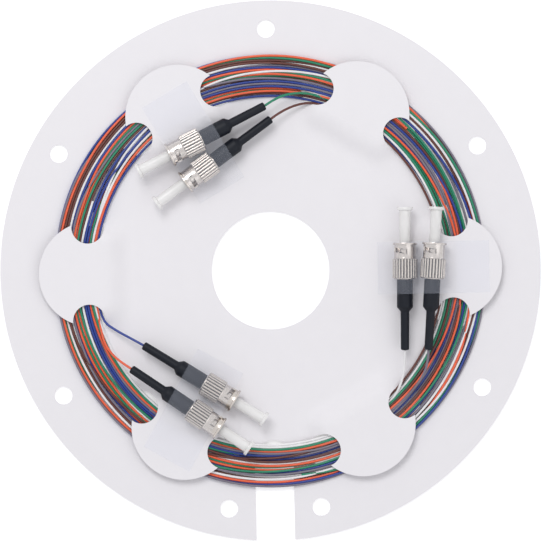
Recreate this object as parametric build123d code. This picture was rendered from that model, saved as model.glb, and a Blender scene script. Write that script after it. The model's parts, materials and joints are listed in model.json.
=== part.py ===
from build123d import *
import math
import os

# Six fibre pigtails wound on a round storage card. Millimetres.
# Origin: centre of the hub hole on the card's back face. +Z is up, the slot points along -Y.

# card
card_radius = 100.0
card_thickness = 1.0
hub_radius = 21.75
rim_hole_radius = 3.3
rim_hole_circle = 89.5
rim_hole_angles = [30, 90, 150, 210, 330]
slot_angle = 270
slot_hole_spread = 11.0
slot_half_width = 7.15
slot_end_circle = 70.0

# tabs that hold the coil down
tab_angles = [0, 60, 120, 180, 240, 300]
free_tab_angles = [60, 180, 300]
lobe_radius = 19.4
lobe_circle = 66.1
notch_radius = 6.0
notch_circle = 69.4
notch_angle = 14.4
flap_half_width = 14.0
slit = 0.15
ramp_start = 52.0
ramp_end = 60.5
hinge_line = 61.4

# wound fibre
fibre_diameter = 0.9
coil_inner_radius = 62.2
coil_outer_radius = 80.3
coil_height = 1.8
coil_seat_gap = 0.05
tab_clearance = 0.35

# connector, measured along its axis from the coupling nut's rear face, nose first
nut_radius = 4.6
nut_knurl_length = 7.65
nut_barrel_radius = 4.25
nut_barrel_length = 4.45
nut_rim_radius = 4.5
nut_rim_length = 1.2
nut_bore_radius = 3.55
nut_rear_wall = 1.0
bayonet_window_length = 1.8
bayonet_window_width = 5.0
bayonet_window_start = 8.9
barrel_radius = 2.4
barrel_clearance = 0.08
boot_grip_length = 4.5
flange_radius = 3.4
flange_start = 8.0
flange_length = 1.0
collar_radius = 2.0
collar_length = 1.9
key_width = 0.8
key_height = 0.7
washer_thickness = 0.5
washer_gap = 0.05
ferrule_radius = 1.25
ferrule_start = 2.0
ferrule_tip = 18.0
ferrule_fit = 0.02
spring_wire_radius = 0.25
spring_radius = 2.85
spring_turns = 5.0
spring_end_gap = 0.05
cap_radius = 2.1
cap_start = 11.2
cap_length = 15.4
cap_flange_radius = 3.0
cap_flange_length = 1.2
cap_fit = 0.05
boot_gap = 0.1
boot_radius = 3.0
boot_collar_length = 10.6
boot_taper_length = 1.4
boot_tail_radius = 1.585
boot_length = 26.2
boot_bore_clearance = 0.05
rest_gap = 0.35

# where each connector lies: nut's rear face centre x, y, and the nose's heading in degrees
connector_places = {
    "green": (-24.4, 49.1, 206.3),
    "brown": (-20.1, 40.7, 215.4),
    "white": (49.5, -4.1, 88.85),
    "slate": (59.5, -4.2, 85.65),
    "blue": (-25.3, -40.8, -32.65),
    "orange": (-30.5, -50.2, -35.15),
}
tapes = {
    "green_brown": (120, "brown", "green"),
    "white_slate": (0, "white", "slate"),
    "blue_orange": (240, "blue", "orange"),
}

# tape strips, modelled as a stiff shell over each pair
tape_thickness = 0.3
tape_half_width = 9.6
tape_length = 41.0
tape_lead_in = 9.8
tape_gap = 0.5
tape_landing = 8.5
tape_seat_gap = 0.12

# route of each fibre from its boot into the coil: x, y, height above the card's back face.
# The first point is the boot's tip and is added by the code.
lead_routes = {
    "green": [(4.2, 64.3, 6.4), (12.4, 65.6, 4.2), (19.6, 64.2, 2.0)],
    "brown": [(4.6, 58.4, 5.2), (11.6, 61.4, 3.6), (18.4, 61.8, 2.0)],
    "white": [(48.9, -36.6, 5.2), (47.4, -42.9, 3.7), (44.3, -48.8, 2.0)],
    "slate": [(57.3, -35.4, 8.0), (54.9, -41.1, 5.4), (50.6, -46.6, 2.2)],
    "blue": [(-52.0, -24.0, 5.2), (-57.7, -20.9, 3.7), (-63.2, -16.9, 2.0)],
    "orange": [(-56.3, -32.3, 7.8), (-60.3, -28.4, 5.3), (-62.9, -23.0, 2.4)],
}

lift = card_thickness + coil_seat_gap + coil_height + tab_clearance
nut_length = nut_knurl_length + nut_barrel_length + nut_rim_length
spring_start = nut_rear_wall + washer_gap * 2 + washer_thickness
boot_tip = boot_gap + boot_length


def polar(radius, angle):
    return radius * math.cos(math.radians(angle)), radius * math.sin(math.radians(angle))


def save(shape, node):
    export_step(shape, f"parts/{node}.step")


def rod(radius, start, end):
    """A cylinder along X from start to end."""
    along = Cylinder(radius, end - start, align=(Align.CENTER, Align.CENTER, Align.MIN))
    return Pos(start, 0, 0) * Rot(0, 90, 0) * along


def turned(*outline):
    """A solid of revolution about X from (x, radius) points."""
    first, last = outline[0][0], outline[-1][0]
    edge = Polyline((first, 0), *outline, (last, 0), close=True)
    return revolve(make_face(edge), Axis.X)


def beyond(x):
    """The half plane from x outwards, along a tab's own X."""
    return Pos(x + card_radius, 0) * Rectangle(2 * card_radius, 2 * card_radius)


# a tab's outline in its own frame, with X pointing out from the hub
notch_x, notch_y = polar(notch_circle, notch_angle)
notches = Pos(notch_x, notch_y) * Circle(notch_radius) + Pos(notch_x, -notch_y) * Circle(notch_radius)
lobe = (Pos(lobe_circle, 0) * Circle(lobe_radius)) & beyond(notch_x)


def flap(half_width):
    length = notch_x + 1.0 - ramp_start
    return Pos(ramp_start + length / 2, 0) * Rectangle(length, 2 * half_width)


def ramp(end):
    """The bent neck of a tab, from the flat card up to its raised height, then level to end."""
    side = Polyline(
        (ramp_start, 0),
        (ramp_end, lift),
        (end, lift),
        (end, lift + card_thickness),
        (ramp_end, lift + card_thickness),
        (ramp_start, card_thickness),
        close=True,
    )
    return extrude(Plane.XZ * make_face(side), flap_half_width, both=True)


def raised_tab(start):
    outline = ((lobe + flap(flap_half_width)) - notches) & beyond(start)
    return Pos(0, 0, lift) * extrude(outline, card_thickness)


def make_card():
    window = lobe + flap(flap_half_width + slit) + notches
    slot_run = card_radius - slot_end_circle + 1.0
    slot = Pos(slot_end_circle, 0) * Circle(slot_half_width)
    slot += Pos(slot_end_circle + slot_run / 2, 0) * Rectangle(slot_run, 2 * slot_half_width)
    sheet = Circle(card_radius) - Circle(hub_radius) - Rot(0, 0, slot_angle) * slot
    holes = rim_hole_angles + [slot_angle - slot_hole_spread, slot_angle + slot_hole_spread]
    for angle in holes:
        sheet -= Pos(*polar(rim_hole_circle, angle)) * Circle(rim_hole_radius)
    for angle in tab_angles:
        sheet -= Rot(0, 0, angle) * window
    card = extrude(sheet, card_thickness)
    for angle in tab_angles:
        if angle in free_tab_angles:
            card += Rot(0, 0, angle) * ramp(hinge_line - slit)
        else:
            card += Rot(0, 0, angle) * (ramp(hinge_line) + raised_tab(ramp_end))
    return card


def make_coil():
    ring = Circle(coil_outer_radius) - Circle(coil_inner_radius)
    return Pos(0, 0, card_thickness + coil_seat_gap) * extrude(ring, coil_height)


# connector pieces, each along X with the nose towards +X
def make_nut():
    knurl_end = nut_knurl_length
    barrel_end = knurl_end + nut_barrel_length
    nut = rod(nut_radius, 0, knurl_end) + rod(nut_barrel_radius, knurl_end, barrel_end)
    nut += rod(nut_rim_radius, barrel_end, nut_length)
    nut -= rod(nut_bore_radius, nut_rear_wall, nut_length)
    nut -= rod(barrel_radius + barrel_clearance, 0, nut_rear_wall)
    across = 2 * nut_radius + 2
    window = Box(bayonet_window_length, bayonet_window_width, across)
    return nut - Pos(bayonet_window_start + bayonet_window_length / 2, 0, 0) * window


def make_washer():
    start = nut_rear_wall + washer_gap
    end = start + washer_thickness
    outer = nut_bore_radius - barrel_clearance
    return rod(outer, start, end) - rod(barrel_radius + barrel_clearance, start, end)


def make_backbone():
    flange_end = flange_start + flange_length
    collar_end = flange_end + collar_length
    body = rod(barrel_radius, -boot_grip_length, flange_start) + rod(flange_radius, flange_start, flange_end)
    body += rod(collar_radius, flange_end, collar_end)
    key = Box(collar_length, key_width, collar_radius + key_height)
    body += Pos(flange_end + collar_length / 2, 0, (collar_radius + key_height) / 2) * key
    body -= rod(ferrule_radius + ferrule_fit, ferrule_start, collar_end)
    return body - rod(fibre_diameter / 2 + boot_bore_clearance, -boot_grip_length, ferrule_start)


def make_ferrule():
    chamfered = 0.3
    tip = ferrule_tip - chamfered
    return turned(
        (ferrule_start, ferrule_radius), (tip, ferrule_radius), (ferrule_tip, ferrule_radius - chamfered)
    )


def make_spring():
    end = flange_start - spring_end_gap
    start = spring_start + spring_end_gap
    rise = end - start - 2 * spring_wire_radius
    helix = Helix(rise / spring_turns, rise, spring_radius)
    wire = sweep(Plane(helix @ 0, z_dir=helix % 0) * Circle(spring_wire_radius), helix, is_frenet=True)
    return Pos(start + spring_wire_radius, 0, 0) * Rot(0, 90, 0) * wire


def make_cap():
    end = cap_start + cap_length
    cap = rod(cap_radius, cap_start, end) + rod(cap_flange_radius, end - cap_flange_length, end)
    return cap - rod(ferrule_radius + cap_fit, cap_start, ferrule_tip + 1.0)


def make_boot():
    front = -boot_gap
    shoulder = front - boot_collar_length
    tail = shoulder - boot_taper_length
    boot = turned(
        (-boot_tip, boot_tail_radius), (tail, boot_tail_radius), (shoulder, boot_radius), (front, boot_radius)
    )
    boot -= rod(barrel_radius + boot_bore_clearance, -boot_grip_length - boot_bore_clearance, front)
    return boot - rod(fibre_diameter / 2 + boot_bore_clearance, -boot_tip, front)


def nut_middle(colour):
    x, y, heading = connector_places[colour]
    ahead_x, ahead_y = polar(nut_length / 2, heading)
    return x + ahead_x, y + ahead_y


def distance_out(colour, tab_angle):
    """How far the middle of a nut lies from the hub, measured along its tab."""
    x, y = nut_middle(colour)
    out_x, out_y = polar(1, tab_angle)
    return x * out_x + y * out_y


def axis_height(colour, tab_angle):
    """Height of a connector's axis where its nut rests on the flat card or on the ramp."""
    out = distance_out(colour, tab_angle)
    if out + nut_radius / 2 < ramp_start:
        return card_thickness + nut_radius + rest_gap
    share = min(1, (out - ramp_start) / (ramp_end - ramp_start))
    slope = math.atan2(lift, ramp_end - ramp_start)
    return card_thickness + lift * share + nut_radius / math.cos(slope) + rest_gap


def upper_hull(points):
    """The taut line over a set of points, from the first across to the last."""
    line = []
    for point in sorted(points):
        while len(line) > 1:
            (ax, az), (bx, bz) = line[-2:]
            if (bx - ax) * (point[1] - az) - (bz - az) * (point[0] - ax) < 0:
                break
            line.pop()
        line.append(point)
    return line


def offset_line(line, gap):
    """The line moved up by gap, measured square to each run."""
    moved = []
    for before, here, after in zip([line[0]] + line[:-1], line, line[1:] + [line[-1]]):
        run_in = math.atan2(here[1] - before[1], here[0] - before[0]) if before != here else None
        run_out = math.atan2(after[1] - here[1], after[0] - here[0]) if after != here else run_in
        run_in = run_out if run_in is None else run_in
        turn = (run_out - run_in) / 2
        square = (run_in + run_out) / 2 + math.pi / 2
        reach = gap / math.cos(turn)
        moved.append((here[0] + reach * math.cos(square), here[1] + reach * math.sin(square)))
    return moved


def make_tape(tab_angle, inner, outer):
    inner_end = distance_out(inner, tab_angle) - tape_lead_in
    landing = distance_out(outer, tab_angle) + tape_landing
    card_top = lift + card_thickness + tape_seat_gap
    points = [(inner_end, card_thickness + tape_seat_gap), (landing, card_top)]
    for colour in (inner, outer):
        lateral = math.radians(connector_places[colour][2] - tab_angle - 90)
        radius = nut_radius + tape_gap + tape_half_width * abs(math.sin(lateral))
        out, height = distance_out(colour, tab_angle), axis_height(colour, tab_angle)
        for step in range(13):
            along, up = polar(radius, 15 * step)
            points.append((out + along, height + up))
    line = upper_hull(points) + [(inner_end + tape_length, card_top)]
    top = offset_line(line, tape_thickness)
    section = make_face(Polyline(*line, *reversed(top), close=True))
    return Rot(0, 0, tab_angle) * extrude(Plane.XZ * section, tape_half_width, both=True)


def place(colour):
    x, y, heading = connector_places[colour]
    tab_angle = next(angle for angle, *pair in tapes.values() if colour in pair)
    return Pos(x, y, axis_height(colour, tab_angle)) * Rot(0, 0, heading)


def make_lead(colour):
    """One fibre from its boot's tip into the side of the coil."""
    start = (place(colour) * Pos(-boot_tip, 0, 0)).position
    points = [start] + [Vector(*point) for point in lead_routes[colour]]
    runs = [b - a for a, b in zip(points, points[1:])]
    radii = []
    for before, after in zip(runs, runs[1:]):
        half_turn = math.radians(before.get_angle(after)) / 2
        radii.append(0.45 * min(before.length, after.length) / math.tan(half_turn))
    path = FilletPolyline(*points, radius=radii)
    tube = sweep(Plane(path @ 0, z_dir=path % 0) * Circle(fibre_diameter / 2), path)
    volume = math.pi * fibre_diameter**2 / 4 * path.length
    print(colour, "radii", [round(r, 1) for r in radii], "runs", [round(r.length, 1) for r in runs])
    print(colour, "length", round(path.length, 2), "volume share", round(tube.volume / volume, 4))
    return tube


os.makedirs("parts", exist_ok=True)
save(make_card(), "card")
save(make_coil(), "fibre_coil")
for angle in free_tab_angles:
    save(Rot(0, 0, angle) * raised_tab(hinge_line + slit), f"tab_{angle}")
for name, (angle, inner, outer) in tapes.items():
    save(make_tape(angle, inner, outer), f"{name}_tape")
pieces = {
    "coupling_nut": make_nut(),
    "thrust_washer": make_washer(),
    "backbone": make_backbone(),
    "ferrule": make_ferrule(),
    "spring": make_spring(),
    "dust_cap": make_cap(),
    "boot": make_boot(),
}
for colour in connector_places:
    for piece, shape in pieces.items():
        save(place(colour) * shape, f"{colour}_{piece}")
    save(make_lead(colour), f"{colour}_fibre")
for colour in connector_places:
    tab_angle = next(angle for angle, *pair in tapes.values() if colour in pair)
    print(colour, "axis height", round(axis_height(colour, tab_angle), 3))
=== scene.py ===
import bpy
import bmesh
import json
import math
import numpy as np
from mathutils import Matrix, Vector
from mathutils.geometry import delaunay_2d_cdt


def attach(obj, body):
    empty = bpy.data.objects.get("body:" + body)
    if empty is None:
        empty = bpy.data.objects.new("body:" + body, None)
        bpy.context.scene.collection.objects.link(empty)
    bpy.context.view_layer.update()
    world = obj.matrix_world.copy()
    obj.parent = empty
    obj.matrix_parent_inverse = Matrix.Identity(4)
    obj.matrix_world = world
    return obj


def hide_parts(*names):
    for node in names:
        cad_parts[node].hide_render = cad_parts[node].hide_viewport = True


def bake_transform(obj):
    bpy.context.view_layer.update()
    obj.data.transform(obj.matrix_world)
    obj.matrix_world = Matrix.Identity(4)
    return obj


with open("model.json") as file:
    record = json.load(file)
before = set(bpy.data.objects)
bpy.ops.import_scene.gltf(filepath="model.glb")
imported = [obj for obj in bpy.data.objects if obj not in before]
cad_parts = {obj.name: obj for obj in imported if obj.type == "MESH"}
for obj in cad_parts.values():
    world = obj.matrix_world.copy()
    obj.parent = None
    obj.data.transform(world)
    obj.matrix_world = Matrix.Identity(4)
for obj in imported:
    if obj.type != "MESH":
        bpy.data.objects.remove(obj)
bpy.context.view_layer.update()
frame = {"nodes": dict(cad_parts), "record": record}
nodes = frame["nodes"]
joints = {j["name"]: j for j in frame["record"]["behaviour"]["joints"]}
mm = 0.001
print("frame loaded")

# camera and light
view = {"distance": 1.3, "width": 0.2002, "sensor": 36.0, "roll": -1.15, "shadeTop": 0.001}
light = {
    "world": 0.62,
    "keyWatts": 4.4,
    "keySize": 0.55,
    "fillWatts": 1.3,
    "fillSize": 0.9,
    "floorGlow": 0.42,
}


def makeCamera():
    data = bpy.data.cameras.new("camera")
    data.sensor_width = view["sensor"]
    data.lens = view["sensor"] * (view["distance"] - view["shadeTop"]) / view["width"]
    camera = bpy.data.objects.new("camera", data)
    camera.location = (0, 0, view["distance"])
    camera.rotation_euler = (0, 0, math.radians(view["roll"]))
    bpy.context.scene.collection.objects.link(camera)
    bpy.context.scene.camera = camera


def makeLamp(name, place, watts, size):
    data = bpy.data.lights.new(name, "AREA")
    data.energy = watts
    data.shape = "DISK"
    data.size = size
    lamp = bpy.data.objects.new(name, data)
    lamp.location = place
    lamp.rotation_euler = (-Vector(place)).to_track_quat("-Z", "Y").to_euler()
    bpy.context.scene.collection.objects.link(lamp)


# camera, glossy or transmitted rays
def seenByEye(tree):
    path = tree.nodes.new("ShaderNodeLightPath")
    first = tree.nodes.new("ShaderNodeMath")
    first.operation = "MAXIMUM"
    second = tree.nodes.new("ShaderNodeMath")
    second.operation = "MAXIMUM"
    tree.links.new(path.outputs["Is Camera Ray"], first.inputs[0])
    tree.links.new(path.outputs["Is Glossy Ray"], first.inputs[1])
    tree.links.new(first.outputs[0], second.inputs[0])
    tree.links.new(path.outputs["Is Transmission Ray"], second.inputs[1])
    return second.outputs[0]


def makeWorld():
    world = bpy.data.worlds.new("studio")
    bpy.context.scene.world = world
    world.use_nodes = True
    tree = world.node_tree
    tree.nodes.clear()
    soft = tree.nodes.new("ShaderNodeBackground")
    soft.inputs["Color"].default_value = (0.97, 0.975, 1.0, 1)
    soft.inputs["Strength"].default_value = light["world"]
    white = tree.nodes.new("ShaderNodeBackground")
    white.inputs["Strength"].default_value = 1.0
    white.inputs["Color"].default_value = (1, 1, 1, 1)
    mix = tree.nodes.new("ShaderNodeMixShader")
    out = tree.nodes.new("ShaderNodeOutputWorld")
    tree.links.new(seenByEye(tree), mix.inputs[0])
    tree.links.new(soft.outputs[0], mix.inputs[1])
    tree.links.new(white.outputs[0], mix.inputs[2])
    tree.links.new(mix.outputs[0], out.inputs[0])


def makeFloor():
    mesh = bpy.data.meshes.new("floor")
    half, low = 1.5, -0.0002
    corners = [(-half, -half, low), (half, -half, low), (half, half, low), (-half, half, low)]
    mesh.from_pydata(corners, [], [(0, 1, 2, 3)])
    floor = bpy.data.objects.new("floor", mesh)
    bpy.context.scene.collection.objects.link(floor)
    material = bpy.data.materials.new("paleFloor")
    material.use_nodes = True
    tree = material.node_tree
    tree.nodes.clear()
    paint = tree.nodes.new("ShaderNodeBsdfDiffuse")
    paint.inputs["Color"].default_value = (0.86, 0.86, 0.87, 1)
    glow = tree.nodes.new("ShaderNodeEmission")
    strength = tree.nodes.new("ShaderNodeMath")
    strength.operation = "MULTIPLY"
    strength.inputs[1].default_value = light["floorGlow"]
    tree.links.new(seenByEye(tree), strength.inputs[0])
    tree.links.new(strength.outputs[0], glow.inputs["Strength"])
    both = tree.nodes.new("ShaderNodeAddShader")
    out = tree.nodes.new("ShaderNodeOutputMaterial")
    tree.links.new(paint.outputs[0], both.inputs[0])
    tree.links.new(glow.outputs[0], both.inputs[1])
    tree.links.new(both.outputs[0], out.inputs[0])
    mesh.materials.append(material)


bpy.context.scene.view_settings.view_transform = "Standard"
makeCamera()
makeWorld()
makeFloor()
makeLamp("key", (-0.25, 0.55, 0.95), light["keyWatts"], light["keySize"])
makeLamp("fill", (0.6, -0.4, 0.8), light["fillWatts"], light["fillSize"])
print("camera and light ready")


# materials
# a principled finish whose colour and roughness drift with a fine noise on object coordinates
def finish(name, colour, rough, metal=0.0, noise=0.06, scale=300.0, bump=0.02, bumpScale=900.0, **sockets):
    material = bpy.data.materials.new(name)
    material.use_nodes = True
    tree = material.node_tree
    shader = tree.nodes["Principled BSDF"]
    place = tree.nodes.new("ShaderNodeTexCoord")
    grain = tree.nodes.new("ShaderNodeTexNoise")
    grain.inputs["Scale"].default_value = scale
    grain.inputs["Detail"].default_value = 4
    tree.links.new(place.outputs["Object"], grain.inputs["Vector"])
    tint = tree.nodes.new("ShaderNodeMix")
    tint.data_type = "RGBA"
    tint.inputs[6].default_value = (*[c * (1 - noise) for c in colour], 1)
    tint.inputs[7].default_value = (*[min(1, c * (1 + noise)) for c in colour], 1)
    tree.links.new(grain.outputs["Fac"], tint.inputs[0])
    tree.links.new(tint.outputs[2], shader.inputs["Base Color"])
    spread = tree.nodes.new("ShaderNodeMapRange")
    spread.inputs["To Min"].default_value = max(0.02, rough - 0.07)
    spread.inputs["To Max"].default_value = min(1, rough + 0.07)
    tree.links.new(grain.outputs["Fac"], spread.inputs["Value"])
    tree.links.new(spread.outputs[0], shader.inputs["Roughness"])
    shader.inputs["Metallic"].default_value = metal
    fine = tree.nodes.new("ShaderNodeTexNoise")
    fine.inputs["Scale"].default_value = bumpScale
    tree.links.new(place.outputs["Object"], fine.inputs["Vector"])
    relief = tree.nodes.new("ShaderNodeBump")
    relief.inputs["Strength"].default_value = bump
    relief.inputs["Distance"].default_value = 0.0002
    tree.links.new(fine.outputs["Fac"], relief.inputs["Height"])
    tree.links.new(relief.outputs["Normal"], shader.inputs["Normal"])
    for socket, value in sockets.items():
        shader.inputs[socket.replace("_", " ")].default_value = value
    return material


# painted shade in the grooves: the metal colour is mixed towards a near-black where the mesh's groove
# attribute falls to nothing
def paintGrooveShade(material, colour):
    tree = material.node_tree
    shader = tree.nodes["Principled BSDF"]
    metalColour = shader.inputs["Base Color"].links[0].from_socket
    unshaded = tree.nodes.new("ShaderNodeAttribute")
    unshaded.attribute_name = "unshaded"
    cover = tree.nodes.new("ShaderNodeMix")
    cover.data_type = "RGBA"
    cover.inputs[6].default_value = (*colour, 1)
    tree.links.new(unshaded.outputs["Fac"], cover.inputs[0])
    tree.links.new(metalColour, cover.inputs[7])
    tree.links.new(cover.outputs[2], shader.inputs["Base Color"])
    return material


fibreColours = {
    "green": (0.014, 0.23, 0.125),
    "brown": (0.115, 0.032, 0.024),
    "white": (0.84, 0.83, 0.84),
    "slate": (0.19, 0.17, 0.22),
    "blue": (0.016, 0.045, 0.27),
    "orange": (0.83, 0.125, 0.05),
}
cardFinish = finish("cardBoard", (0.85, 0.83, 0.855), 0.62, noise=0.018, scale=160, bump=0.06, bumpScale=1400)
nickelFinish = finish("nickel", (0.6, 0.555, 0.52), 0.24, metal=1.0, noise=0.05, scale=250, bump=0.008)
# ribbed nickel with painted shade: a near-black mixed into the grooves between the ribs
ribbedFinish = paintGrooveShade(
    finish("ribbedNickel", (0.6, 0.555, 0.52), 0.24, metal=1.0, noise=0.05, scale=250, bump=0.008),
    (0.13, 0.115, 0.1),
)
steelFinish = finish("springSteel", (0.5, 0.5, 0.52), 0.3, metal=1.0, noise=0.06)
zirconiaFinish = finish("zirconia", (0.88, 0.87, 0.84), 0.12, noise=0.02)
bootFinish = finish(
    "bootRubber", (0.006, 0.008, 0.014), 0.46, noise=0.3, scale=900, bump=0.06, Specular_IOR_Level=0.22
)
capFinish = finish("capPlastic", (0.95, 0.94, 0.93), 0.24, noise=0.015, bump=0.01, Alpha=0.72)
tapeFinish = finish("tapeFilm", (0.8, 0.85, 1.0), 0.3, noise=0.02, scale=120, bump=0.03, Alpha=0.055)
fibreFinish = {c: finish(c + "Buffer", rgb, 0.36, noise=0.14, scale=240) for c, rgb in fibreColours.items()}
print("materials ready")


def meshObject(name, verts, faces, material, smooth=35):
    mesh = bpy.data.meshes.new(name)
    mesh.from_pydata([tuple(v) for v in verts], [], faces)
    mesh.validate()
    work = bmesh.new()
    work.from_mesh(mesh)
    bmesh.ops.remove_doubles(work, verts=work.verts, dist=1e-7)
    bmesh.ops.recalc_face_normals(work, faces=work.faces)
    work.to_mesh(mesh)
    work.free()
    mesh.polygons.foreach_set("use_smooth", [True] * len(mesh.polygons))
    mesh.set_sharp_from_angle(angle=math.radians(smooth))
    mesh.materials.append(material)
    piece = bpy.data.objects.new(name, mesh)
    bpy.context.scene.collection.objects.link(piece)
    return piece


def ease(t):
    t = min(max(t, 0), 1)
    return t * t * t * (t * (6 * t - 15) + 10)


# fibres
fibre = {
    "length": 2.0,
    "diameter": 0.9 * mm,
    "stationsPerTurn": 48,
    "rounds": 420,
    "crossing": 0.5,
    "spread": 0.15,
    "innerEdge": 62.5 * mm,
    "outerEdge": 80.0 * mm,
    "tabSqueeze": 1.0 * mm,
    "bottom": 1.5 * mm,
    "top": 2.4 * mm,
    "seed": 7,
}
# each fibre's route from its boot into the coil, as in the part
fibreRoutes = {
    "green": [(4.2, 64.3, 6.4), (12.4, 65.6, 4.2), (19.6, 64.2, 2.0)],
    "brown": [(4.6, 58.4, 5.2), (11.6, 61.4, 3.6), (18.4, 61.8, 2.0)],
    "white": [(48.9, -36.6, 5.2), (47.4, -42.9, 3.7), (44.3, -48.8, 2.0)],
    "slate": [(57.3, -35.4, 8.0), (54.9, -41.1, 5.4), (50.6, -46.6, 2.2)],
    "blue": [(-52.0, -24.0, 5.2), (-57.7, -20.9, 3.7), (-63.2, -16.9, 2.0)],
    "orange": [(-56.3, -32.3, 7.8), (-60.3, -28.4, 5.3), (-62.9, -23.0, 2.4)],
}
bootTip = 26.3 * mm


# the connector's own frame: X along the nose, origin at its nut's rear face
def connectorFrame(colour):
    turn = joints[colour + "_nut_turn"]
    along = Vector(turn["axis"])
    side = Vector((0, 0, 1)).cross(along)
    matrix = Matrix((along, side, Vector((0, 0, 1)))).transposed().to_4x4()
    matrix.translation = Vector(turn["pos_m"])
    return matrix


# inner and outer radius of the wound fibres, drawn in a little under each tab
def coilEdges(angle):
    near = (0.5 + 0.5 * np.cos(6 * angle)) ** 2
    squeeze = fibre["tabSqueeze"] * near
    return fibre["innerEdge"] + squeeze, fibre["outerEdge"] - 0.6 * squeeze


# turns of all six fibres: each drifts between lanes, then strands on one station push apart
def windFibres():
    random = np.random.default_rng(fibre["seed"])
    per, width = fibre["stationsPerTurn"], fibre["diameter"]
    meanTurn = math.pi * (fibre["innerEdge"] + fibre["outerEdge"])
    owner, order, station, radius, height = [], [], [], [], []
    for index, (colour, route) in enumerate(fibreRoutes.items()):
        last = Vector(route[-1]) * mm
        lead = (Vector(route[-1]) - Vector(route[0])).length * mm + 6 * mm
        count = int(round((fibre["length"] - lead) / meanTurn * per))
        first = int(math.floor(math.degrees(math.atan2(last.y, last.x)) / 360 * per)) - 1
        bands = [0] + [1 + (k * (1 + 2 * (index % 2)) + index) % 4 for k in range(4)] + [0, 1, 2]
        lanes = [(band + ((5 * index + 2 * band) % 6 + 0.5) / 6) / 5 for band in bands]
        startLane = (last.xy.length - fibre["innerEdge"]) / (fibre["outerEdge"] - fibre["innerEdge"])
        lanes[0] = min(max(startLane, 0.02), 0.98)
        wander = random.uniform(0, 2 * math.pi, 3)
        for n in range(count):
            turn = n / per
            here, share = int(turn), turn % 1
            blend = ease((share - 0.5) / fibre["crossing"] + 0.5)
            lane = lanes[here] * (1 - blend) + lanes[here + 1] * blend
            lane += fibre["spread"] * (lane - 0.5) + 0.02 * math.sin(2 * math.pi * turn * 1.3 + wander[0])
            angle = (first - n) * 2 * math.pi / per
            inner, outer = coilEdges(angle)
            owner.append(index)
            order.append(n)
            station.append((first - n) % per)
            radius.append(inner + (outer - inner) * min(max(lane, 0), 1))
            level = 1 if n < 4 else 0.5 + 0.5 * math.sin(2 * math.pi * turn * 0.77 + wander[1])
            height.append(fibre["bottom"] + (fibre["top"] - fibre["bottom"]) * level)
    owner, order, station = map(np.array, (owner, order, station))
    spot = np.stack([radius, height], 1)
    aim = spot.copy()
    angle = station * 2 * np.pi / per
    inner, outer = coilEdges(angle)
    groups = [np.flatnonzero(station == s) for s in range(per)]
    follows = np.flatnonzero((owner[1:] == owner[:-1]) & (order[1:] == order[:-1] + 1))
    middle = np.intersect1d(follows[1:], follows[:-1] + 1)
    for step in range(fibre["rounds"]):
        smooth = spot.copy()
        smooth[middle] += 0.2 * (spot[middle - 1] + spot[middle + 1] - 2 * spot[middle])
        spot = smooth + 0.02 * (aim - spot)
        for group in groups:
            local = spot[group]
            gap = local[:, None] - local[None]
            apart = np.hypot(gap[..., 0], gap[..., 1]) + np.eye(len(group))
            push = np.clip(width * 1.03 - apart, 0, None) / apart * 0.5
            local = local + (gap * push[..., None]).sum(1)
            spot[group] = local
        spot[:, 0] = np.clip(spot[:, 0], inner, outer)
        spot[:, 1] = np.clip(spot[:, 1], fibre["bottom"], fibre["top"])
    wound = {}
    for index, colour in enumerate(fibreRoutes):
        mine = owner == index
        turn, where = angle[mine], spot[mine]
        wound[colour] = [
            (r * math.cos(a), r * math.sin(a), z) for (r, z), a in zip(where.tolist(), turn.tolist())
        ]
    return wound


def makeFibres():
    wound = windFibres()
    for colour, route in fibreRoutes.items():
        exitPoint = connectorFrame(colour) @ Vector((-bootTip, 0, 0))
        points = [exitPoint] + [Vector(p) * mm for p in route] + [Vector(p) for p in wound[colour]]
        curve = bpy.data.curves.new(colour + "Fibre", "CURVE")
        curve.dimensions = "3D"
        curve.bevel_depth = fibre["diameter"] / 2
        curve.bevel_resolution = 3
        curve.resolution_u = 4
        curve.use_fill_caps = True
        spline = curve.splines.new("NURBS")
        spline.points.add(len(points) - 1)
        for point, place in zip(spline.points, points):
            point.co = (*place, 1)
        spline.order_u = 3
        spline.use_endpoint_u = True
        curve.materials.append(fibreFinish[colour])
        cord = bpy.data.objects.new(colour + "Fibre", curve)
        bpy.context.scene.collection.objects.link(cord)
        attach(cord, "root")
        replaced = [f"{colour}_fibre"] + (["fibre_coil"] if colour == "green" else [])
        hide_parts(*replaced)


makeFibres()
print("fibres wound")

# card
card = {
    "radius": 100.0,
    "thickness": 1.0,
    "hub": 21.75,
    "rimHole": 3.3,
    "rimCircle": 89.5,
    "rimAngles": (30, 90, 150, 210, 330, 259, 281),
    "slotHalf": 7.15,
    "slotEnd": 70.0,
    "lobe": 19.4,
    "lobeCircle": 66.1,
    "notch": 6.0,
    "notchCircle": 69.4,
    "notchAngle": 14.4,
    "hinge": 61.4,
    "riseFrom": 51.0,
    "riseTo": 61.0,
    "lift": 3.2,
    "neckHalf": 11.3,
    "cheek": 21.0,
    "settle": 4.0,
    "ringStart": 66.5,
    "fine": 1.3,
}
tabAngles = (0, 60, 120, 180, 240, 300)
freeTabs = (60, 180, 300)
notchX = card["notchCircle"] * math.cos(math.radians(card["notchAngle"]))
notchY = card["notchCircle"] * math.sin(math.radians(card["notchAngle"]))


# how far the sheet stands up at a point, from the nearest tab's bend
def riseAt(x, y):
    turn = round(math.degrees(math.atan2(y, x)) / 60) * 60
    c, s = math.cos(math.radians(turn)), math.sin(math.radians(turn))
    out, side = x * c + y * s, abs(y * c - x * s)
    up = ease((out - card["riseFrom"]) / (card["riseTo"] - card["riseFrom"]))
    return card["lift"] * up * (1 - ease((side - card["neckHalf"]) / (card["cheek"] - card["neckHalf"])))


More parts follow.
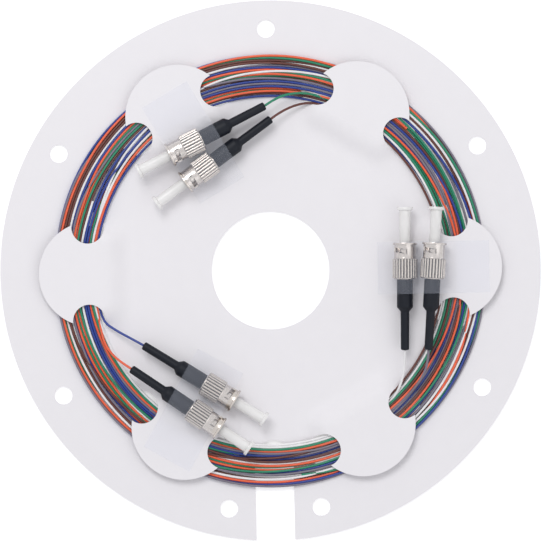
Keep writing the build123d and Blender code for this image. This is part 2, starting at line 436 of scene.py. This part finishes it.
def arc(cx, cy, radius, start, end, step=2.5):
    count = max(2, int(math.ceil(abs(math.radians(end - start)) * radius / (step * 0.4))))
    sweep = [math.radians(start + (end - start) * i / count) for i in range(count + 1)]
    return [(cx + radius * math.cos(a), cy + radius * math.sin(a)) for a in sweep]


# angle round the lobe's centre, and round the notch's, where the lobe meets its upper notch
def lobeJoin():
    dx, dy = notchX - card["lobeCircle"], notchY
    gap = math.hypot(dx, dy)
    along = (gap**2 + card["lobe"] ** 2 - card["notch"] ** 2) / (2 * gap)
    off = math.sqrt(card["lobe"] ** 2 - along**2)
    base = math.atan2(dy, dx)
    px = card["lobeCircle"] + along * math.cos(base) + off * math.sin(base)
    py = along * math.sin(base) - off * math.cos(base)
    qx = card["lobeCircle"] + along * math.cos(base) - off * math.sin(base)
    qy = along * math.sin(base) + off * math.cos(base)
    px, py = (px, py) if px > qx else (qx, qy)
    lobeTurn = math.degrees(math.atan2(py, px - card["lobeCircle"]))
    notchTurn = math.degrees(math.atan2(py - notchY, px - notchX))
    return lobeTurn, notchTurn


# a tab from its hinge line round its lobe, in its own frame with X outwards
def hingeLine():
    reach = card["hinge"] - notchX
    end = notchY - math.sqrt(card["notch"] ** 2 - reach**2)
    count = int(2 * end / card["fine"])
    return [(card["hinge"], end - 2 * end * i / count) for i in range(1, count)]


def tabOutline():
    lobeTurn, notchTurn = lobeJoin()
    reach = notchX - card["hinge"]
    low = -180 + math.degrees(math.acos(reach / card["notch"]))
    upper = arc(notchX, notchY, card["notch"], notchTurn, low)[::-1]
    lobe = arc(card["lobeCircle"], 0, card["lobe"], -lobeTurn, lobeTurn)
    lower = [(x, -y) for x, y in upper]
    return lower + lobe[1:-1] + upper[::-1] + hingeLine()


# the hole that a tab leaves: its lobe, both whole notches, and its neck from the hinge line
def windowOutline():
    lobeTurn, notchTurn = lobeJoin()
    reach = notchX - card["hinge"]
    low = 180 - math.degrees(math.acos(reach / card["notch"]))
    upper = arc(notchX, notchY, card["notch"], notchTurn, low + 2 * (180 - low))
    lobe = arc(card["lobeCircle"], 0, card["lobe"], -lobeTurn, lobeTurn)
    lower = [(x, -y) for x, y in upper][::-1]
    return lobe + upper[1:] + hingeLine() + lower[:-1]


def turnedBy(points, degrees):
    c, s = math.cos(math.radians(degrees)), math.sin(math.radians(degrees))
    return [(x * c - y * s, x * s + y * c) for x, y in points]


def ring(radius, cx=0, cy=0, step=2.5):
    return arc(cx, cy, radius, 0, 360, step)[:-1]


# the card's edge with the slot let in at the bottom
def rimOutline():
    half = card["slotHalf"]
    lip = math.degrees(math.asin(half / card["radius"]))
    edge = arc(0, 0, card["radius"], -90 + lip, 270 - lip)
    slot = arc(0, -card["slotEnd"], half, 180, 0)
    return edge + slot


def insideLoop(x, y, loop):
    hit = False
    for (ax, ay), (bx, by) in zip(loop, loop[1:] + loop[:1]):
        if (ay > y) != (by > y) and x < (bx - ax) * (y - ay) / (by - ay) + ax:
            hit = not hit
    return hit


# a tab leaves its hinge line at the ring's height and soon has its whole lift
def tabRise(x, y):
    turn = math.radians(round(math.degrees(math.atan2(y, x)) / 60) * 60)
    out = x * math.cos(turn) + y * math.sin(turn)
    atHinge = riseAt(x, y)
    return atHinge + (card["lift"] - atHinge) * ease((out - card["hinge"]) / card["settle"])


# the sheet round the tabs: it bulges inside the ring and lies flat past each window
def ringRise(x, y):
    return riseAt(x, y) if math.hypot(x, y) < card["ringStart"] else 0.0


# a flat outline with holes, filled with triangles, raised by the tabs' bends, one sheet thick
def sheetMesh(name, outer, holes, spacing, rise):
    loops = [outer] + holes
    points, edges = [], []
    for loop in loops:
        start = len(points)
        points += loop
        edges += [(start + i, start + (i + 1) % len(loop)) for i in range(len(loop))]
    edgePoints = np.array(points)
    low, high = edgePoints.min(0), edgePoints.max(0)
    rowStep = spacing * math.sqrt(0.75)
    for number in range(int((high[1] - low[1]) / rowStep) + 1):
        y = low[1] + spacing / 2 + number * rowStep
        x = low[0] + spacing * (0.5 if number % 2 else 1.0)
        while x < high[0]:
            near = np.abs(edgePoints - (x, y)).max(1).min() < 0.45 * spacing
            if not near and insideLoop(x, y, outer) and not any(insideLoop(x, y, h) for h in holes):
                points.append((x, y))
            x += spacing
    flat = delaunay_2d_cdt([Vector(p) for p in points], edges, [], 0, 1e-5)
    verts, faces = flat[0], []
    for f in flat[2]:
        x, y = (sum(verts[i][k] for i in f) / len(f) for k in (0, 1))
        if insideLoop(x, y, outer) and not any(insideLoop(x, y, h) for h in holes):
            faces.append(list(f))
    count, t = len(verts), card["thickness"]
    top = [(v.x * mm, v.y * mm, (rise(v.x, v.y) + t) * mm) for v in verts]
    bottom = [(v.x * mm, v.y * mm, rise(v.x, v.y) * mm) for v in verts]
    shell = [tuple(f) for f in faces] + [tuple(i + count for i in reversed(f)) for f in faces]
    rims = {}
    for f in faces:
        for a, b in zip(f, f[1:] + f[:1]):
            rims[frozenset((a, b))] = None if frozenset((a, b)) in rims else (a, b)
    for pair in rims.values():
        if pair:
            a, b = pair
            shell.append((b, a, a + count, b + count))
    return meshObject(name, top + bottom, shell, cardFinish, smooth=40)


def makeCard():
    windows = [turnedBy(windowOutline(), angle) for angle in tabAngles]
    holes = [ring(card["hub"])] + windows
    for angle in card["rimAngles"]:
        x, y = turnedBy([(card["rimCircle"], 0)], angle)[0]
        holes.append(ring(card["rimHole"], x, y, 1.2))
    sheet = sheetMesh("cardSheet", rimOutline(), holes, 2.2, ringRise)
    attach(sheet, "root")
    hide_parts("card")
    for angle in tabAngles:
        tab = sheetMesh(f"tabSheet{angle}", turnedBy(tabOutline(), angle), [], card["fine"], tabRise)
        if angle in freeTabs:
            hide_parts(f"tab_{angle}")
            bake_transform(tab)
        else:
            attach(tab, "root")


makeCard()
print("card cut")

# connectors
nut = {
    "grooveRadius": 4.24,
    "grip": 7.65,
    "ribs": 24,
    "ribRadius": 0.43,
    "ribCircle": 4.17,
    # height above the groove floor over which the painted groove shade fades out
    "shadeDepth": 0.24,
    "ribStart": 0.4,
    "ribLength": 6.9,
    "barrel": 3.98,
    "length": 13.3,
    "rim": 4.5,
    "rimLength": 0.8,
    "bore": 3.45,
    "rearWall": 1.0,
    "rearBore": 2.48,
    "slotStart": 9.2,
    "slotWidth": 1.7,
}


def lathe(outline, around=48):
    verts, faces = [], []
    for x, r in outline:
        for k in range(around):
            a = 2 * math.pi * k / around
            verts.append((x * mm, r * mm * math.cos(a), r * mm * math.sin(a)))
    for i in range(len(outline)):
        j = (i + 1) % len(outline)
        for k in range(around):
            n = (k + 1) % around
            faces.append((i * around + k, i * around + n, j * around + n, j * around + k))
    return verts, faces


# the outline with each corner cut by a small arc of three points
def rounded(outline, radius=0.2):
    result = []
    closed = outline[-1:] + outline + outline[:1]
    for before, here, after in zip(closed, closed[1:], closed[2:]):
        p, q, r = (np.array(v, float) for v in (before, here, after))
        inLen, outLen = np.linalg.norm(q - p), np.linalg.norm(r - q)
        cut = min(radius, 0.4 * inLen, 0.4 * outLen)
        a, b = q + (p - q) / inLen * cut, q + (r - q) / outLen * cut
        for t in (0, 0.5, 1):
            result.append(tuple((1 - t) ** 2 * a + 2 * t * (1 - t) * q + t * t * b))
    return result


# rods set round a circle make the ribs of the nut's grip
def ribTree():
    tree = bpy.data.node_groups.new("nutRibs", "GeometryNodeTree")
    sockets = tree.interface
    sockets.new_socket("Geometry", in_out="OUTPUT", socket_type="NodeSocketGeometry")
    sockets.new_socket("Geometry", in_out="INPUT", socket_type="NodeSocketGeometry")
    sockets.new_socket("Ribs", in_out="INPUT", socket_type="NodeSocketInt")
    for name in ("Circle Radius", "Rib Radius", "Rib Length", "Middle"):
        sockets.new_socket(name, in_out="INPUT", socket_type="NodeSocketFloat")
    sockets.new_socket("Finish", in_out="INPUT", socket_type="NodeSocketMaterial")
    given = tree.nodes.new("NodeGroupInput")
    circle = tree.nodes.new("GeometryNodeMeshCircle")
    rod = tree.nodes.new("GeometryNodeMeshCylinder")
    rod.inputs["Vertices"].default_value = 14
    spread = tree.nodes.new("GeometryNodeInstanceOnPoints")
    along = tree.nodes.new("ShaderNodeCombineXYZ")
    turn = tree.nodes.new("GeometryNodeTransform")
    turn.inputs["Rotation"].default_value = (0, math.pi / 2, 0)
    join = tree.nodes.new("GeometryNodeJoinGeometry")
    real = tree.nodes.new("GeometryNodeRealizeInstances")
    coat = tree.nodes.new("GeometryNodeSetMaterial")
    result = tree.nodes.new("NodeGroupOutput")
    link = tree.links.new
    link(given.outputs["Ribs"], circle.inputs["Vertices"])
    link(given.outputs["Circle Radius"], circle.inputs["Radius"])
    link(given.outputs["Rib Radius"], rod.inputs["Radius"])
    link(given.outputs["Rib Length"], rod.inputs["Depth"])
    link(circle.outputs["Mesh"], spread.inputs["Points"])
    link(rod.outputs["Mesh"], spread.inputs["Instance"])
    link(given.outputs["Middle"], along.inputs["X"])
    link(along.outputs[0], turn.inputs["Translation"])
    link(spread.outputs["Instances"], turn.inputs["Geometry"])
    link(turn.outputs["Geometry"], join.inputs["Geometry"])
    link(given.outputs["Geometry"], join.inputs["Geometry"])
    link(join.outputs["Geometry"], real.inputs["Geometry"])
    link(real.outputs["Geometry"], coat.inputs["Geometry"])
    link(given.outputs["Finish"], coat.inputs["Material"])
    link(coat.outputs["Geometry"], result.inputs["Geometry"])
    return tree


def addRibs(body):
    tree = ribTree()
    values = {
        "Ribs": nut["ribs"],
        "Circle Radius": nut["ribCircle"] * mm,
        "Rib Radius": nut["ribRadius"] * mm,
        "Rib Length": nut["ribLength"] * mm,
        "Middle": (nut["ribStart"] + nut["ribLength"] / 2) * mm,
        "Finish": ribbedFinish,
    }
    ribs = body.modifiers.new("ribs", "NODES")
    ribs.node_group = tree
    for item in tree.interface.items_tree:
        if item.in_out == "INPUT" and item.name in values:
            ribs[item.identifier] = values[item.name]


# coupling nut: a turned body with two bayonet slots, then the ribs on its grip and painted shade in the
# grooves between them
def nutMesh():
    end, groove = nut["length"], nut["grooveRadius"]
    barrelEnd = end - nut["rimLength"]
    grip = nut["grip"]
    outline = rounded(
        [
            (0, nut["rearBore"]),
            (0, groove - 0.1),
            (0.3, groove),
            (grip - 0.3, groove),
            (grip, groove - 0.2),
            (grip + 0.1, nut["barrel"]),
            (barrelEnd, nut["barrel"]),
            (barrelEnd + 0.05, nut["rim"]),
            (end, nut["rim"]),
            (end, nut["bore"]),
            (nut["rearWall"], nut["bore"]),
            (nut["rearWall"], nut["rearBore"]),
        ],
        0.12,
    )
    body = meshObject("nutPattern", *lathe(outline, 96), ribbedFinish)
    cutVerts, cutFaces = [], []
    for side in (0, math.pi):
        slotPieces(side, cutVerts, cutFaces)
    cutter = meshObject("nutCutter", cutVerts, cutFaces, ribbedFinish)
    cut = body.modifiers.new("slots", "BOOLEAN")
    cut.operation = "DIFFERENCE"
    cut.solver = "EXACT"
    cut.object = cutter
    addRibs(body)
    depsgraph = bpy.context.evaluated_depsgraph_get()
    mesh = bpy.data.meshes.new_from_object(body.evaluated_get(depsgraph))
    body.modifiers.clear()
    bpy.data.objects.remove(body)
    bpy.data.objects.remove(cutter)
    mesh.polygons.foreach_set("use_smooth", [True] * len(mesh.polygons))
    mesh.set_sharp_from_angle(angle=math.radians(40))
    # painted shade: 1 on the rib tops and the rest of the nut, falling to 0 at the groove floor, where the
    # ribbed nickel turns dark
    unshaded = mesh.attributes.new("unshaded", "FLOAT", "POINT")
    for vertex in mesh.vertices:
        x, r = vertex.co.x / mm, math.hypot(vertex.co.y, vertex.co.z) / mm
        onGrip = 0.25 < x < grip and r > groove - 0.05
        unshaded.data[vertex.index].value = min(1, (r - groove) / nut["shadeDepth"]) if onGrip else 1
    print("nut mesh", len(mesh.polygons))
    return mesh


# a cutter for one bayonet slot: a ramp round a quarter of the barrel, with a round seat at its end
def slotPieces(side, verts, faces):
    steps, low, high = 16, 3.0, 5.2
    start = len(verts)
    for i in range(steps + 1):
        a = side + math.radians(100) * i / steps
        x = nut["slotStart"] + 0.9 * (1 - i / steps)
        for dx, r in ((0, low), (nut["slotWidth"], low), (nut["slotWidth"], high), (0, high)):
            verts.append(((x + dx) * mm, r * mm * math.cos(a), r * mm * math.sin(a)))
    for i in range(steps):
        for k in range(4):
            n, row = (k + 1) % 4, start + 4 * i
            faces.append((row + k, row + n, row + 4 + n, row + 4 + k))
    faces.append((start + 3, start + 2, start + 1, start))
    last = start + 4 * steps
    faces.append((last, last + 1, last + 2, last + 3))


capOutline = rounded(
    [
        (11.3, 1.32),
        (11.3, 1.95),
        (14.2, 2.0),
        (25.2, 2.12),
        (25.4, 2.95),
        (26.5, 2.95),
        (26.5, 0.001),
        (19.0, 0.001),
        (19.0, 1.32),
    ],
    0.22,
)
bootOutline = rounded(
    [
        (-0.15, 2.5),
        (-0.15, 2.95),
        (-10.4, 2.98),
        (-12.0, 1.62),
        (-25.9, 1.55),
        (-26.25, 1.1),
        (-26.25, 0.5),
        (-4.6, 0.5),
        (-4.6, 2.5),
    ],
    0.25,
)


def placePiece(name, mesh, colour, body, slotName, *replaced):
    mesh.transform(connectorFrame(colour))
    piece = bpy.data.objects.new(name, mesh)
    bpy.context.scene.collection.objects.link(piece)
    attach(piece, body)
    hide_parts(*replaced)


def latheMesh(name, outline, material, around=48):
    piece = meshObject(name, *lathe(outline, around), material)
    mesh = piece.data
    bpy.data.objects.remove(piece)
    return mesh


innerFinishes = {
    "thrust_washer": steelFinish,
    "spring": steelFinish,
    "backbone": nickelFinish,
    "ferrule": zirconiaFinish,
}


def makeConnectors():
    capPattern = latheMesh("capPattern", capOutline, capFinish)
    bootPattern = latheMesh("bootPattern", bootOutline, bootFinish)
    patterns = {
        "Nut": (nutMesh(), "nut", "nickel", "coupling_nut"),
        "Cap": (capPattern, "cap", "cap_plastic", "dust_cap"),
        "Boot": (bootPattern, "root", "boot_rubber", "boot"),
    }
    for colour in fibreRoutes:
        for part, (pattern, body, slotName, node) in patterns.items():
            riding = body if body == "root" else f"{colour}_{body}"
            placePiece(colour + part, pattern.copy(), colour, riding, slotName, f"{colour}_{node}")
        for piece, material in innerFinishes.items():
            paint(f"{colour}_{piece}", material)


def paint(node, material):
    mesh = nodes[node].data
    mesh.materials.clear()
    mesh.materials.append(material)


makeConnectors()
for name in ("green_brown", "white_slate", "blue_orange"):
    paint(name + "_tape", tapeFinish)
print("connectors and tape ready")
